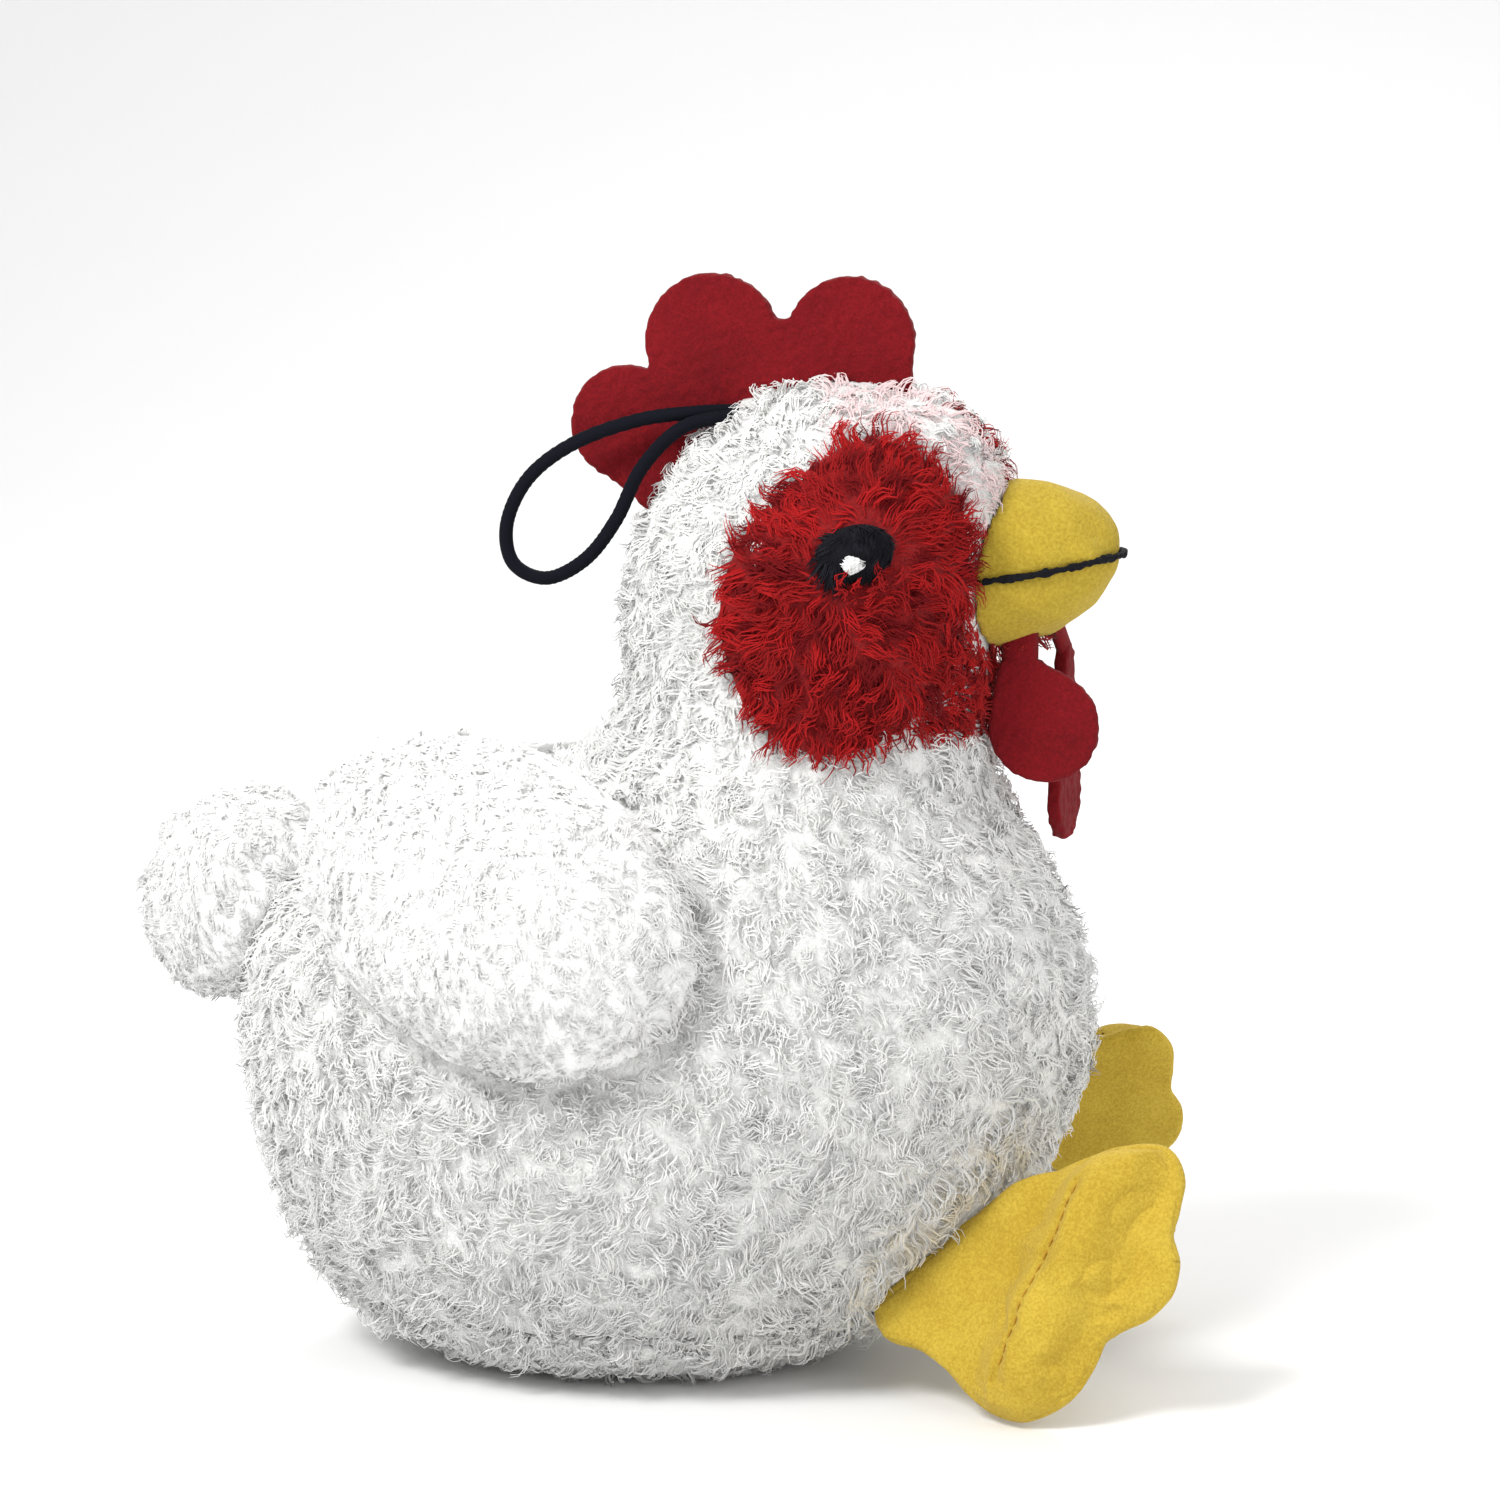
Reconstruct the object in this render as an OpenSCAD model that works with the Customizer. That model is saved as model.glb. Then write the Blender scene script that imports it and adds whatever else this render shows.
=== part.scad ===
// Plush hen with a squeeze-to-sound box, sitting on its belly.
// The beak points along +X, +Z is up, and the floor is at Z = 0.

/* [Body] */
// Height of the fabric skin at the crown of the head
body_h = 172.5; // [170:0.5:176]
// Thickness of the plush skin, backing cloth and flattened pile together
skin_t = 2.5; // [2:0.1:3]
// Height of the seam between the belly gusset and the side panels
gusset_h = 12; // [12:1:14]

/* [Comb and wattles] */
// Thickness of the comb, two layers of felt sewn together
comb_t = 3; // [2:0.5:4]
// Thickness of each wattle
wattle_t = 2.4; // [2:0.2:3]

/* [Beak] */
// Half the width of the beak at the face
beak_w = 14; // [12:0.5:15]
// Reach of the beak tip along X
beak_tip = 80; // [78:0.5:82]
// Diameter of the black mouth yarn
yarn_d = 1.3; // [1:0.1:1.6]

/* [Wings and feet] */
// Thickness of the right wing pad at its middle
wing_t = 12.5; // [10:0.5:14]
// Gap between the wing lining and the side of the body
wing_gap = 0.7; // [0.5:0.1:1.2]
// Thickness of the padded foot along its middle toe
foot_t = 11; // [9:0.5:11.5]

/* [Sound box] */
// Outer diameter of the sound box
case_d = 44; // [44:0.5:46]
// Height of the closed sound box
case_h = 20; // [20:0.5:21]
// Wall of the sound box
case_w = 1.5; // [1.2:0.1:1.6]
// Diameter of the push button
button_d = 13.4; // [13:0.1:13.6]
// Travel of the push button
button_travel = 1.5; // [1:0.1:1.5]

/* [Hang loop] */
// Diameter of the braided hanging cord
loop_d = 2.5; // [2:0.1:3]

/* [Hidden] */
$fn = 48;

white_pile = "#f1f1ee";
white_lining = "#dcdcda";
red_pile = "#b3161c";
red_felt = "#9c1219";
yellow_fleece = "#dcae3a";
black_thread = "#15161c";
stuffing_white = "#fafafa";
plastic_white = "#e8e8e4";

// Flat sections through body, neck and head: height, back, front, half width
BODY = [
  [0, -32, 22, 19], [2, -41, 29, 27], [6, -50, 36.5, 34], [12, -57.5, 46, 40], [22, -65.5, 57.5, 44.5],
  [36, -71, 67, 47.5], [50, -74, 73.5, 48.5], [64, -75, 75.5, 48], [76, -72.5, 73.5, 46],
  [86, -65, 69, 43], [93, -54, 65, 40], [99, -38.5, 60.5, 37], [104, -21, 58.5, 34],
  [110, -10.2, 57, 31.5], [120, -5.7, 57, 29.5], [134, -5.7, 59, 29], [147, -3.2, 60.5, 28.5],
  [156, 1.8, 60.5, 26.5], [163, 8, 57, 22.5], [168, 14, 51, 17.5], [171, 20, 44, 11.5], [172.5, 27, 36, 4]
];
top_z = 172.5;
crown_z = 164;
side_fn = 32;
gap = 0.25;
// Height of the sound box's underside above the floor
box_z = 26;

// Smooth curve through the rows of a table: column c at height z
function row_at(tab, z, i = 0) = (i >= len(tab) - 2 || z < tab[i + 1][0]) ? i : row_at(tab, z, i + 1);
function rise(tab, i, c) =
  let (lo = max(i - 1, 0), hi = min(i + 1, len(tab) - 1))
  (tab[hi][c] - tab[lo][c]) / (tab[hi][0] - tab[lo][0]);
function along(tab, z, c) =
  let (
    i = row_at(tab, z),
    h = tab[i + 1][0] - tab[i][0],
    t = (z - tab[i][0]) / h,
    a = tab[i][c],
    b = tab[i + 1][c],
    ma = h * rise(tab, i, c),
    mb = h * rise(tab, i + 1, c)
  )
  a * (2 * t ^ 3 - 3 * t ^ 2 + 1) + ma * (t ^ 3 - 2 * t ^ 2 + t)
  + b * (3 * t ^ 2 - 2 * t ^ 3) + mb * (t ^ 3 - t ^ 2);
// How much further a depth below the skin reaches in a flat section where the wall leans
function steep(z, c) =
  let (m = along(BODY, min(z + 0.5, top_z), c) - along(BODY, max(z - 0.5, 0), c))
  min(3.5, sqrt(1 + m * m));

// A point on the skin at depth d below its outside, at angle p round the body from the front
function back_x(z, d) = along(BODY, z, 1) + d * steep(z, 1);
function front_x(z, d) = along(BODY, z, 2) - d * steep(z, 2);
function mid_x(z, d) = (back_x(z, d) + front_x(z, d)) / 2;
function half_x(z, d) = max((front_x(z, d) - back_x(z, d)) / 2, 0.25 * (front_x(z, 0) - back_x(z, 0)) / 2);
function half_y(z, d) = max(along(BODY, z, 3) - d * steep(z, 3), 0.25 * along(BODY, z, 3));
function sunk_z(z, d) =
  z < gusset_h ? d + z * (gusset_h - d) / gusset_h :
  z > crown_z ? crown_z + (z - crown_z) * (body_h - d - crown_z) / (top_z - crown_z) : z;
function skin_pt(z, d, p) = [mid_x(z, d) + half_x(z, d) * cos(p), half_y(z, d) * sin(p), sunk_z(z, d)];
function ring(z, d, n = side_fn) = [for (k = [0:n - 1]) skin_pt(z, d, 360 * k / n)];
function arc(z, d, n = side_fn) = [for (k = [n / 2:n]) skin_pt(z, d, 360 * k / n)];
function crown(d) = [mid_x(top_z, 0), 0, sunk_z(top_z, d) + 0.3];
belly_rows = [0, 1, 2, 4, 6, 9, 12];
side_rows = concat([for (z = [12:4.75:159.25]) z], [for (z = [164:1.5:171]) z], [172.2]);

// Triangles between row i and row i + 1 of m rows of n points; whole rings close on themselves
function band(i, n, first, whole, flip) =
  let (m = whole ? n : n - 1)
  [for (k = [0:m - 1]) let (
      a = first + i * n + k,
      b = first + i * n + (k + 1) % n,
      c = b + n,
      e = a + n
    ) each flip ? [[a, b, c], [a, c, e]] : [[a, c, b], [a, e, c]]];
function sheet(m, n, first, whole, flip) = [for (i = [0:m - 2]) each band(i, n, first, whole, flip)];
// Two triangles that join the outer edge a-b to the same edge of the inner sheet, s points on
function rim(a, b, s) = [[a, b + s, b], [a, a + s, b + s]];

// Closed loft through whole rings, flat at both ends
module loft(rows) {
  n = len(rows[0]);
  m = len(rows);
  polyhedron(
    points = concat([for (r = rows) each r], [mean(rows[0]), mean(rows[m - 1])]),
    faces = concat(
      sheet(m, n, 0, true, false),
      [for (k = [0:n - 1]) [m * n, k, (k + 1) % n]],
      [for (k = [0:n - 1]) [m * n + 1, (m - 1) * n + (k + 1) % n, (m - 1) * n + k]]
    )
  );
}
function mean(r) = [for (a = [0:2]) sum([for (p = r) p[a]]) / len(r)];
function sum(v, i = 0) = i >= len(v) ? 0 : v[i] + sum(v, i + 1);

// One side panel: outside face, inside face, the centre seam and the hem joined up
module side_panel() {
  m = len(side_rows);
  n = side_fn / 2 + 1;
  outer = [for (z = side_rows) each arc(z, 0)];
  inner = [for (z = side_rows) each arc(z, skin_t)];
  s = m * n;
  t = 2 * s;
  last = (m - 1) * n;
  polyhedron(
    points = concat(outer, inner, [crown(0), crown(skin_t)]),
    faces = concat(
      sheet(m, n, 0, false, false),
      sheet(m, n, s, false, true),
      [for (k = [0:n - 2]) each [[k, k + 1, s + k + 1], [k, s + k + 1, s + k]]],
      [for (i = [0:m - 2]) let (a = i * n) each [[a, s + a, s + a + n], [a, s + a + n, a + n]]],
      [for (i = [0:m - 2]) let (e = n - 1) each [
          [i * n + e, (i + 1) * n + e, s + (i + 1) * n + e],
          [i * n + e, s + (i + 1) * n + e, s + i * n + e]
        ]],
      [for (k = [0:n - 2]) [last + k, t, last + k + 1]],
      [for (k = [0:n - 2]) [s + last + k, s + last + k + 1, t + 1]],
      [[last, s + last, t + 1], [last, t + 1, t]],
      [[last + n - 1, t, t + 1], [last + n - 1, t + 1, s + last + n - 1]]
    )
  );
}

module body_panel_right() {
  color(white_pile) side_panel();
}

module body_panel_left() {
  color(white_pile) mirror([0, 1, 0]) side_panel();
}

// Bowl-shaped gusset the hen sits on, with a flat foot in its middle
module belly_gusset() {
  n = side_fn;
  m = len(belly_rows);
  s = m * n;
  color(white_pile) polyhedron(
    points = concat(
      [for (z = belly_rows) each ring(z, 0)],
      [for (z = belly_rows) each ring(z, skin_t)],
      [mean(ring(0, 0)), mean(ring(0, skin_t))]
    ),
    faces = concat(
      sheet(m, n, 0, true, false),
      sheet(m, n, s, true, true),
      [for (k = [0:n - 1]) [2 * s, k, (k + 1) % n]],
      [for (k = [0:n - 1]) [2 * s + 1, s + (k + 1) % n, s + k]],
      [for (k = [0:n - 1]) each rim(s - n + k, s - n + (k + 1) % n, s)]
    )
  );
}

// Polyester stuffing that fills the skin from belly to crown, with room for the sound box
module body_stuffing() {
  d = skin_t + gap;
  color(stuffing_white) difference() {
    loft([for (z = concat(belly_rows, [for (z = side_rows) if (z > 12) z])) ring(z, d)]);
    translate([0, 0, box_z - 1.3]) cylinder(d = case_d + 3.4, h = case_h + 5.4);
  }
}

// Layer of a sewn pad between heights lo and hi, given at reach r (0 centre, 1 rim) and angle a
pad_rows = [0.2, 0.4, 0.6, 0.75, 0.87, 0.95, 1];
pad_fn = 28;
module pad_layer(at, lo, hi, rows = pad_rows, n = pad_fn) {
  m = len(rows);
  s = m * n;
  polyhedron(
    points = concat(
      [for (r = rows) for (k = [0:n - 1]) let (a = 360 * k / n) at(r, a, hi(r, a))],
      [for (r = rows) for (k = [0:n - 1]) let (a = 360 * k / n) at(r, a, lo(r, a))],
      [at(0, 0, hi(0, 0)), at(0, 0, lo(0, 0))]
    ),
    faces = concat(
      sheet(m, n, 0, true, false),
      sheet(m, n, s, true, true),
      [for (k = [0:n - 1]) [2 * s, k, (k + 1) % n]],
      [for (k = [0:n - 1]) [2 * s + 1, s + (k + 1) % n, s + k]],
      [for (k = [0:n - 1]) each rim(s - n + k, s - n + (k + 1) % n, s)]
    )
  );
}

// Stuffed lobe of short pile sewn over the back seam
tail_x = -75.8;
tail_z = 80;
tail_reach = 18.5;
tail_half = [13, 19];
function tail_ring(u) =
  let (s = max(0.16, sqrt(max(0, 1 - u * u))))
  [for (a = [0:15:345]) [
      tail_x + tail_reach * u,
      tail_half[0] * s * cos(a),
      tail_z + 1.5 * u + tail_half[1] * s * sin(a)
    ]];
module tail() {
  color(white_pile) difference() {
    loft([for (k = [-6:6]) tail_ring(k / 6)]);
    loft([for (z = [44:4:120]) ring(z, -0.1)]);
  }
}

// Oval laid on the skin: centre angle and height, half sizes, height off the skin
function on_skin(p, z, rp, rz) = function(r, a, h) skin_pt(z + rz * r * sin(a), -h, -(p + rp * r * cos(a)));
function level(h) = function(r, a) h;

module face_patch() {
  color(red_pile) pad_layer(on_skin(72.5, 138.5, 39.5, 26.5), level(0.1), function(r, a) 2.6 - 1.2 * r ^ 4);
}

module eye() {
  color(black_thread) pad_layer(
    on_skin(74, 146.5, 11, 5), level(2.7), function(r, a) 4.2 - 0.7 * r ^ 2, [0.4, 0.8, 1], 16
  );
}

module eye_glint() {
  color("white") pad_layer(
    on_skin(74.5, 144.6, 3, 1.5), level(4.3), function(r, a) 4.8 - 0.2 * r ^ 2, [0.5, 1], 10
  );
}

// Three-lobed comb: two felt layers, its foot sewn into the crown seam
module comb() {
  silhouette = concat(
    [for (z = [120:4:164]) [front_x(z, 0) + 0.15, z]],
    [for (z = [165.5:1.5:171]) [front_x(z, 0) + 0.15, z + 0.1]],
    [[mid_x(top_z, 0), crown(0)[2] + 0.2]],
    [for (z = [171:-1.5:165.5]) [back_x(z, 0) - 0.15, z + 0.1]],
    [for (z = [164:-4:120]) [back_x(z, 0) - 0.15, z]]
  );
  color(red_felt) rotate([90, 0, 0]) difference() {
    union() {
      translate([33, 179.5, -comb_t / 2]) cylinder(d = 22.4, h = comb_t);
      translate([9, 179.3, -comb_t / 2]) cylinder(d = 23.4, h = comb_t);
      translate([-6, 165, -comb_t / 2]) cylinder(d = 20, h = comb_t);
      linear_extrude(comb_t, center = true)
        polygon([
          [43.8, 180], [43.8, 160], [0, 148], [-11, 157], [-2, 175],
          [4, 182], [15, 184], [21.3, 183], [28, 185]
        ]);
    }
    linear_extrude(comb_t + 2, center = true) polygon(silhouette);
  }
}

// Beak: mouth height, half width and jaw depths along its length
beak_root = 48;
function beak_u(x) = (x - beak_root) / (beak_tip - beak_root);
function mouth_z(x) = 139.3 + 4.6 * beak_u(x) ^ 1.5;
function beak_half(x) = beak_w * (1 - beak_u(x) ^ 2.6) ^ 0.55;
function jaw_up(x) = 16.5 * (1 - beak_u(x) ^ 3) ^ 0.55;
function jaw_down(x) = 13.2 * (1 - beak_u(x) ^ 3.6) ^ 0.6;
beak_rows = [48, 52, 55, 58, 61, 64, 67, 70, 73, 75.5, 77.5, 79, 79.8];

module head_core() {
  loft([for (z = [112:4:164]) ring(z, -0.1)]);
}

module beak_upper() {
  color(yellow_fleece) difference() {
    loft([for (x = beak_rows)
        [for (a = [180:-12:0]) [x, beak_half(x) * cos(a), mouth_z(x) + 0.05 + jaw_up(x) * sin(a)]]]);
    head_core();
  }
}

module beak_lower() {
  color(yellow_fleece) difference() {
    loft([for (x = beak_rows)
        [for (a = [0:-12:-180]) [x, beak_half(x) * cos(a), mouth_z(x) - 0.05 + jaw_down(x) * sin(a)]]]);
    head_core();
  }
}

// Round thread or cord swept along a route; side is a direction the route never runs along
function unit(v) = v / norm(v);
function spline(r, i, t) =
  let (
    m = len(r),
    a = r[max(i - 1, 0)],
    b = r[i],
    c = r[min(i + 1, m - 1)],
    e = r[min(i + 2, m - 1)]
  )
  0.5 * (2 * b + (c - a) * t + (2 * a - 5 * b + 4 * c - e) * t ^ 2 + (3 * b - a - 3 * c + e) * t ^ 3);
function smooth_route(r, n) = concat(
  [for (i = [0:len(r) - 2]) for (k = [0:n - 1]) spline(r, i, k / n)],
  [r[len(r) - 1]]
);
module thread(route, d, side, sides = 8) {
  m = len(route);
  loft([for (i = [0:m - 1])
      let (
        dir = unit(route[min(i + 1, m - 1)] - route[max(i - 1, 0)]),
        u = unit(cross(dir, side)),
        v = cross(dir, u)
      )
      [for (k = [0:sides - 1]) route[i] + d / 2 * (cos(360 * k / sides) * u + sin(360 * k / sides) * v)]]);
}

// Black yarn that closes the beak all round its edge
module mouth_yarn() {
  reach = yarn_d / 2 + 0.08;
  edge = [for (x = [57.5:2.5:77.5]) [x, beak_half(x) + reach, mouth_z(x)]];
  nose = [for (x = [79, 79.8]) [x + reach * 0.8, beak_half(x) + reach * 0.5, mouth_z(x)]];
  half_way = concat(edge, nose);
  back_way = [for (i = [len(half_way) - 1:-1:0]) [half_way[i][0], -half_way[i][1], half_way[i][2]]];
  color(black_thread) thread(concat(half_way, back_way), yarn_d, [0, 0, 1], 8);
}

// Flat felt drop that hangs by its top; back moves the top towards the throat
module wattle_shape(drop, r, back, top_r) {
  hull() {
    translate([0, -drop + r]) circle(r = r);
    translate([-back, -top_r - 0.1]) circle(r = top_r);
  }
}

right_wattle = [67.4, -5.2, 127];
module wattle_right() {
  color(red_felt) translate(right_wattle) rotate([90, 0, 0])
    linear_extrude(wattle_t, center = true) wattle_shape(22.5, 9.6, 4.2, 4);
}

left_wattle = [69.6, 11, 127];
module wattle_left() {
  color(red_felt) translate(left_wattle) rotate([90, 0, 82])
    linear_extrude(wattle_t, center = true) wattle_shape(35, 8.5, 1, 2.9);
}

// Wing pad: a slanted oval that follows the side of the body and stands up over the back.
// The left wing droops about its front seam and is pressed a little flatter than the right.
front_seam = [14, 80];
left_droop = 17;
left_wing_t = wing_t - 1.4;
function wing_y(x, z) = 49.5 - 0.0064 * (x + 4) ^ 2 - 0.006 * max(0, z - 62) ^ 2;
function wing_oval(r, a) = [-22 + r * (35 * cos(a) - 9 * sin(a)), 87.5 + 28 * r * sin(a)];
function drooped(p, turn) =
  let (d = p - front_seam)
  front_seam + [d[0] * cos(turn) - d[1] * sin(turn), d[1] * cos(turn) + d[0] * sin(turn)];
function wing_at(droop) = function(r, a, h)
  let (p = drooped(wing_oval(r, a), droop))
  [p[0], -(wing_y(p[0], p[1]) + wing_gap + h), p[1]];
function wing_top(t) = function(r, a) 2.6 + (t - 2.6) * max(0, 1 - r ^ 2.5) ^ 0.8;
cloth = 1.5;
lining = 1;
inner_rows = [0.2, 0.4, 0.6, 0.75, 0.87, 0.95];

module wing_cover(droop, t) {
  top = wing_top(t);
  color(white_pile) pad_layer(wing_at(droop), function(r, a) top(r, a) - cloth, top);
}

module wing_filling(droop, t) {
  top = wing_top(t);
  color(stuffing_white)
    pad_layer(wing_at(droop), level(lining + 0.1), function(r, a) top(r, a) - cloth - 0.1, inner_rows);
}

module wing_lining(droop) {
  color(white_lining) pad_layer(wing_at(droop), level(0), level(lining));
}

// Webbed foot: three toes fanned out from a straight ankle seam, stood on edge and leaning outward.
// The left foot is set a little further back and higher than the right, and turned by left_turn.
right_foot = [67.5, -26, 27.8];
left_foot = [62, -34.5, 33];
left_turn = 7;
foot_fn = 36;
foot_yaw = -18;
foot_lean = 24;
foot_p = [cos(foot_yaw), sin(foot_yaw), 0];
foot_out = [sin(foot_yaw), -cos(foot_yaw), 0];
foot_q = [0, 0, cos(foot_lean)] - sin(foot_lean) * foot_out;
foot_n = cos(foot_lean) * foot_out + [0, 0, sin(foot_lean)];
// Outline of the foot: angle and reach from its middle
FOOT = [
  [-180, 13], [-168, 15.5], [-157, 22], [-150, 28.5], [-140, 29], [-127, 25], [-112, 25], [-90, 29],
  [-78, 30], [-60, 27.5], [-38, 22.5], [-20, 26.5], [-5, 28.5], [12, 26.5], [28, 30], [40, 29.5],
  [52, 22.5], [66, 15], [85, 12], [110, 10.5], [137, 9.5], [160, 10.3], [180, 13]
];
function foot_at(o, turn) = function(r, a, h)
  let (b = a > 180 ? a - 360 : a, s = r * along(FOOT, b, 1))
  o + s * cos(b + turn) * foot_p + s * sin(b + turn) * foot_q + h * foot_n;
// The middle toe is a broad padded ridge between two points; the webs each side of it are thinner
ridge_top = [14.5, 10.5];
ridge_tip = [4.5, -26.5];
ridge_half = 7.5;
web_share = 0.14;
function off_ridge(u, v) =
  let (w = unit(ridge_tip - ridge_top), g = [u, v] - ridge_top)
  abs(g[0] * w[1] - g[1] * w[0]);
function foot_top(r, a) =
  let (
    b = a > 180 ? a - 360 : a,
    s = r * along(FOOT, b, 1),
    swell = max(exp(-(off_ridge(s * cos(b), s * sin(b)) / ridge_half) ^ 4), web_share)
  )
  2.6 + (foot_t - 2.6) * max(0, 1 - r ^ 4) ^ 0.6 * swell;

module foot_upper(at) {
  color(yellow_fleece) pad_layer(at, function(r, a) foot_top(r, a) - cloth,
    function(r, a) foot_top(r, a), pad_rows, foot_fn);
}

module foot_padding(at) {
  color(stuffing_white) pad_layer(at, level(lining + 0.1),
    function(r, a) foot_top(r, a) - cloth - 0.1, inner_rows, foot_fn);
}

module foot_sole(at) {
  color(yellow_fleece) pad_layer(at, level(0), level(lining), pad_rows, foot_fn);
}

// Braided hanging loop, both ends sewn into the crown seam beside the comb
LOOP = [
  [14, -3.4, 167.6], [7, -5.4, 167.4], [-3, -6, 166], [-14, -6.5, 162], [-22, -7, 156], [-26, -7, 148],
  [-25, -7, 141], [-19, -7.5, 138.5], [-12, -8, 142], [-6.5, -8.5, 149], [-2, -8.5, 158], [5, -8, 165],
  [13.5, -6.4, 167]
];
module hang_loop() {
  color(black_thread) thread(smooth_route(LOOP, 2), loop_d, [0, 1, 0], 8);
}

// Sound box: two shells screwed together round a board, three cells, a speaker and a button
screw_r = 17;
cell_r = 13.6;
board_z = 8.2;
split_z = 8;
tray_z = 9.25;
module three_round(r, first = 0) {
  for (a = [0, 120, 240]) rotate(a + first) translate([r, 0, 0]) children();
}

module sound_pouch() {
  color("#dfe3ea") translate([0, 0, box_z - 1]) difference() {
    cylinder(d = case_d + 2.8, h = case_h + 4.4);
    translate([0, 0, 0.8]) cylinder(d = case_d + 1.2, h = case_h + 2.8);
  }
}

module sound_case_base() {
  color(plastic_white) translate([0, 0, box_z]) difference() {
    union() {
      difference() {
        cylinder(d = case_d, h = split_z);
        translate([0, 0, case_w]) cylinder(d = case_d - 2 * case_w, h = split_z);
      }
      three_round(screw_r) translate([0, 0, case_w - 0.5]) cylinder(d = 5, h = board_z - case_w + 0.5);
    }
    three_round(screw_r) translate([0, 0, -1]) cylinder(d = 2.4, h = 12);
    three_round(screw_r) translate([0, 0, -1]) cylinder(d = 4.4, h = 3);
    for (a = [0:60:300]) rotate(a) translate([5, 0, -1]) cylinder(d = 2, h = 4);
    translate([0, 0, -1]) cylinder(d = 2, h = 4);
  }
}

module sound_case_top() {
  color(plastic_white) translate([0, 0, box_z]) difference() {
    union() {
      difference() {
        translate([0, 0, split_z + 0.02]) cylinder(d = case_d, h = case_h - split_z - 0.02);
        translate([0, 0, split_z - 1]) cylinder(d = case_d - 2 * case_w, h = case_h - split_z - case_w + 1);
      }
      three_round(screw_r) translate([0, 0, board_z + 1.02]) cylinder(d = 5, h = case_h - board_z - 2);
    }
    three_round(screw_r) translate([0, 0, board_z]) cylinder(d = 2.04, h = 8);
    translate([0, 0, case_h - 4]) cylinder(d = button_d + 0.6, h = 8);
  }
}

module circuit_board() {
  color("#1f6b3c") translate([0, 0, box_z + board_z + 0.01]) difference() {
    cylinder(d = 39, h = 1);
    three_round(screw_r) translate([0, 0, -1]) cylinder(d = 2.4, h = 3);
  }
}

module chip_blob() {
  color(black_thread) translate([0, 0, box_z + board_z - 1.2]) cylinder(d1 = 4, d2 = 7, h = 1.2);
}

module battery_tray() {
  color(plastic_white) translate([0, 0, box_z + tray_z]) difference() {
    cylinder(d = 40.6, h = 4.4);
    three_round(screw_r) translate([0, 0, -1]) cylinder(d = 5.6, h = 7);
    three_round(cell_r, 60) translate([0, 0, -1]) cylinder(d = 12, h = 7);
    translate([0, 0, -1]) cylinder(d = 12, h = 7);
  }
}

module cell_contacts() {
  color("#c9a94a") translate([0, 0, box_z + tray_z]) three_round(cell_r, 60) {
    cylinder(d = 8, h = 0.4);
    translate([0, 0, 5.9]) cylinder(d = 8, h = 0.4);
  }
}

module button_cells() {
  color("#c8ccd0") translate([0, 0, box_z + tray_z + 0.45]) three_round(cell_r, 60) {
    cylinder(d = 11.6, h = 4.6);
    translate([0, 0, 4.6]) cylinder(d = 9.6, h = 0.8);
  }
}

module speaker() {
  color("#8b8f94") translate([0, 0, box_z + case_w + 0.2]) {
    cylinder(d = 28, h = 1.2);
    translate([0, 0, 1.2]) cylinder(d1 = 26, d2 = 16, h = 1.6);
    translate([0, 0, 2.8]) cylinder(d = 14, h = 1.7);
  }
}

module speaker_wires() {
  color("#b02020") for (y = [-2, 2])
    translate([10.4, y, box_z + case_w + 2.9]) cylinder(d = 0.8, h = board_z - case_w - 2.92, $fn = 16);
}

module case_screws() {
  color("#a9adb2") translate([0, 0, box_z]) three_round(screw_r) {
    translate([0, 0, 0.3]) cylinder(d = 4, h = 1.65);
    translate([0, 0, 1.9]) cylinder(d = 2, h = 13);
  }
}

module push_button() {
  color("#d03030") translate([0, 0, box_z]) {
    translate([0, 0, case_h - 2]) cylinder(d = button_d, h = 4);
    translate([0, 0, case_h - 3.4]) cylinder(d = 15.6, h = 1.6);
    translate([0, 0, 11.2]) cylinder(d = 5, h = 6);
  }
}

module button_spring() {
  turns = 4;
  low = tray_z + 0.35;
  high = case_h - 3.4 - 0.35;
  steps = 14;
  helix = [for (k = [0:turns * steps]) [
      4.2 * cos(k * 360 / steps),
      4.2 * sin(k * 360 / steps),
      low + (high - low) * k / (turns * steps)
    ]];
  color("#b9bdc2") translate([0, 0, box_z]) thread(helix, 0.6, [0, 0, 1], 6);
}

module left() {
  mirror([0, 1, 0]) children();
}

body_panel_right();
body_panel_left();
belly_gusset();
body_stuffing();
tail();
face_patch();  // face_patch_right
left() face_patch();  // face_patch_left
eye();  // eye_right
left() eye();  // eye_left
eye_glint();  // eye_glint_right
left() eye_glint();  // eye_glint_left
comb();
beak_upper();
beak_lower();
mouth_yarn();
wattle_right();
wattle_left();
wing_cover(0, wing_t);  // wing_right_cover
wing_filling(0, wing_t);  // wing_right_filling
wing_lining(0);  // wing_right_lining
left() wing_cover(left_droop, left_wing_t);  // wing_left_cover
left() wing_filling(left_droop, left_wing_t);  // wing_left_filling
left() wing_lining(left_droop);  // wing_left_lining
foot_upper(foot_at(right_foot, 0));  // foot_right_upper
foot_padding(foot_at(right_foot, 0));  // foot_right_padding
foot_sole(foot_at(right_foot, 0));  // foot_right_sole
left() foot_upper(foot_at(left_foot, left_turn));  // foot_left_upper
left() foot_padding(foot_at(left_foot, left_turn));  // foot_left_padding
left() foot_sole(foot_at(left_foot, left_turn));  // foot_left_sole
hang_loop();
sound_pouch();
sound_case_top();
sound_case_base();
battery_tray();
button_cells();
cell_contacts();
circuit_board();
chip_blob();
speaker();
speaker_wires();
case_screws();
push_button();
button_spring();
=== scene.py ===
"""A stuffed plush hen with a squeeze sound box, put together from skin to trimmings."""
import math
import bmesh
import bpy
import numpy as np
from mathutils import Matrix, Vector
from mathutils.bvhtree import BVHTree
from mathutils.kdtree import KDTree


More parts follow.
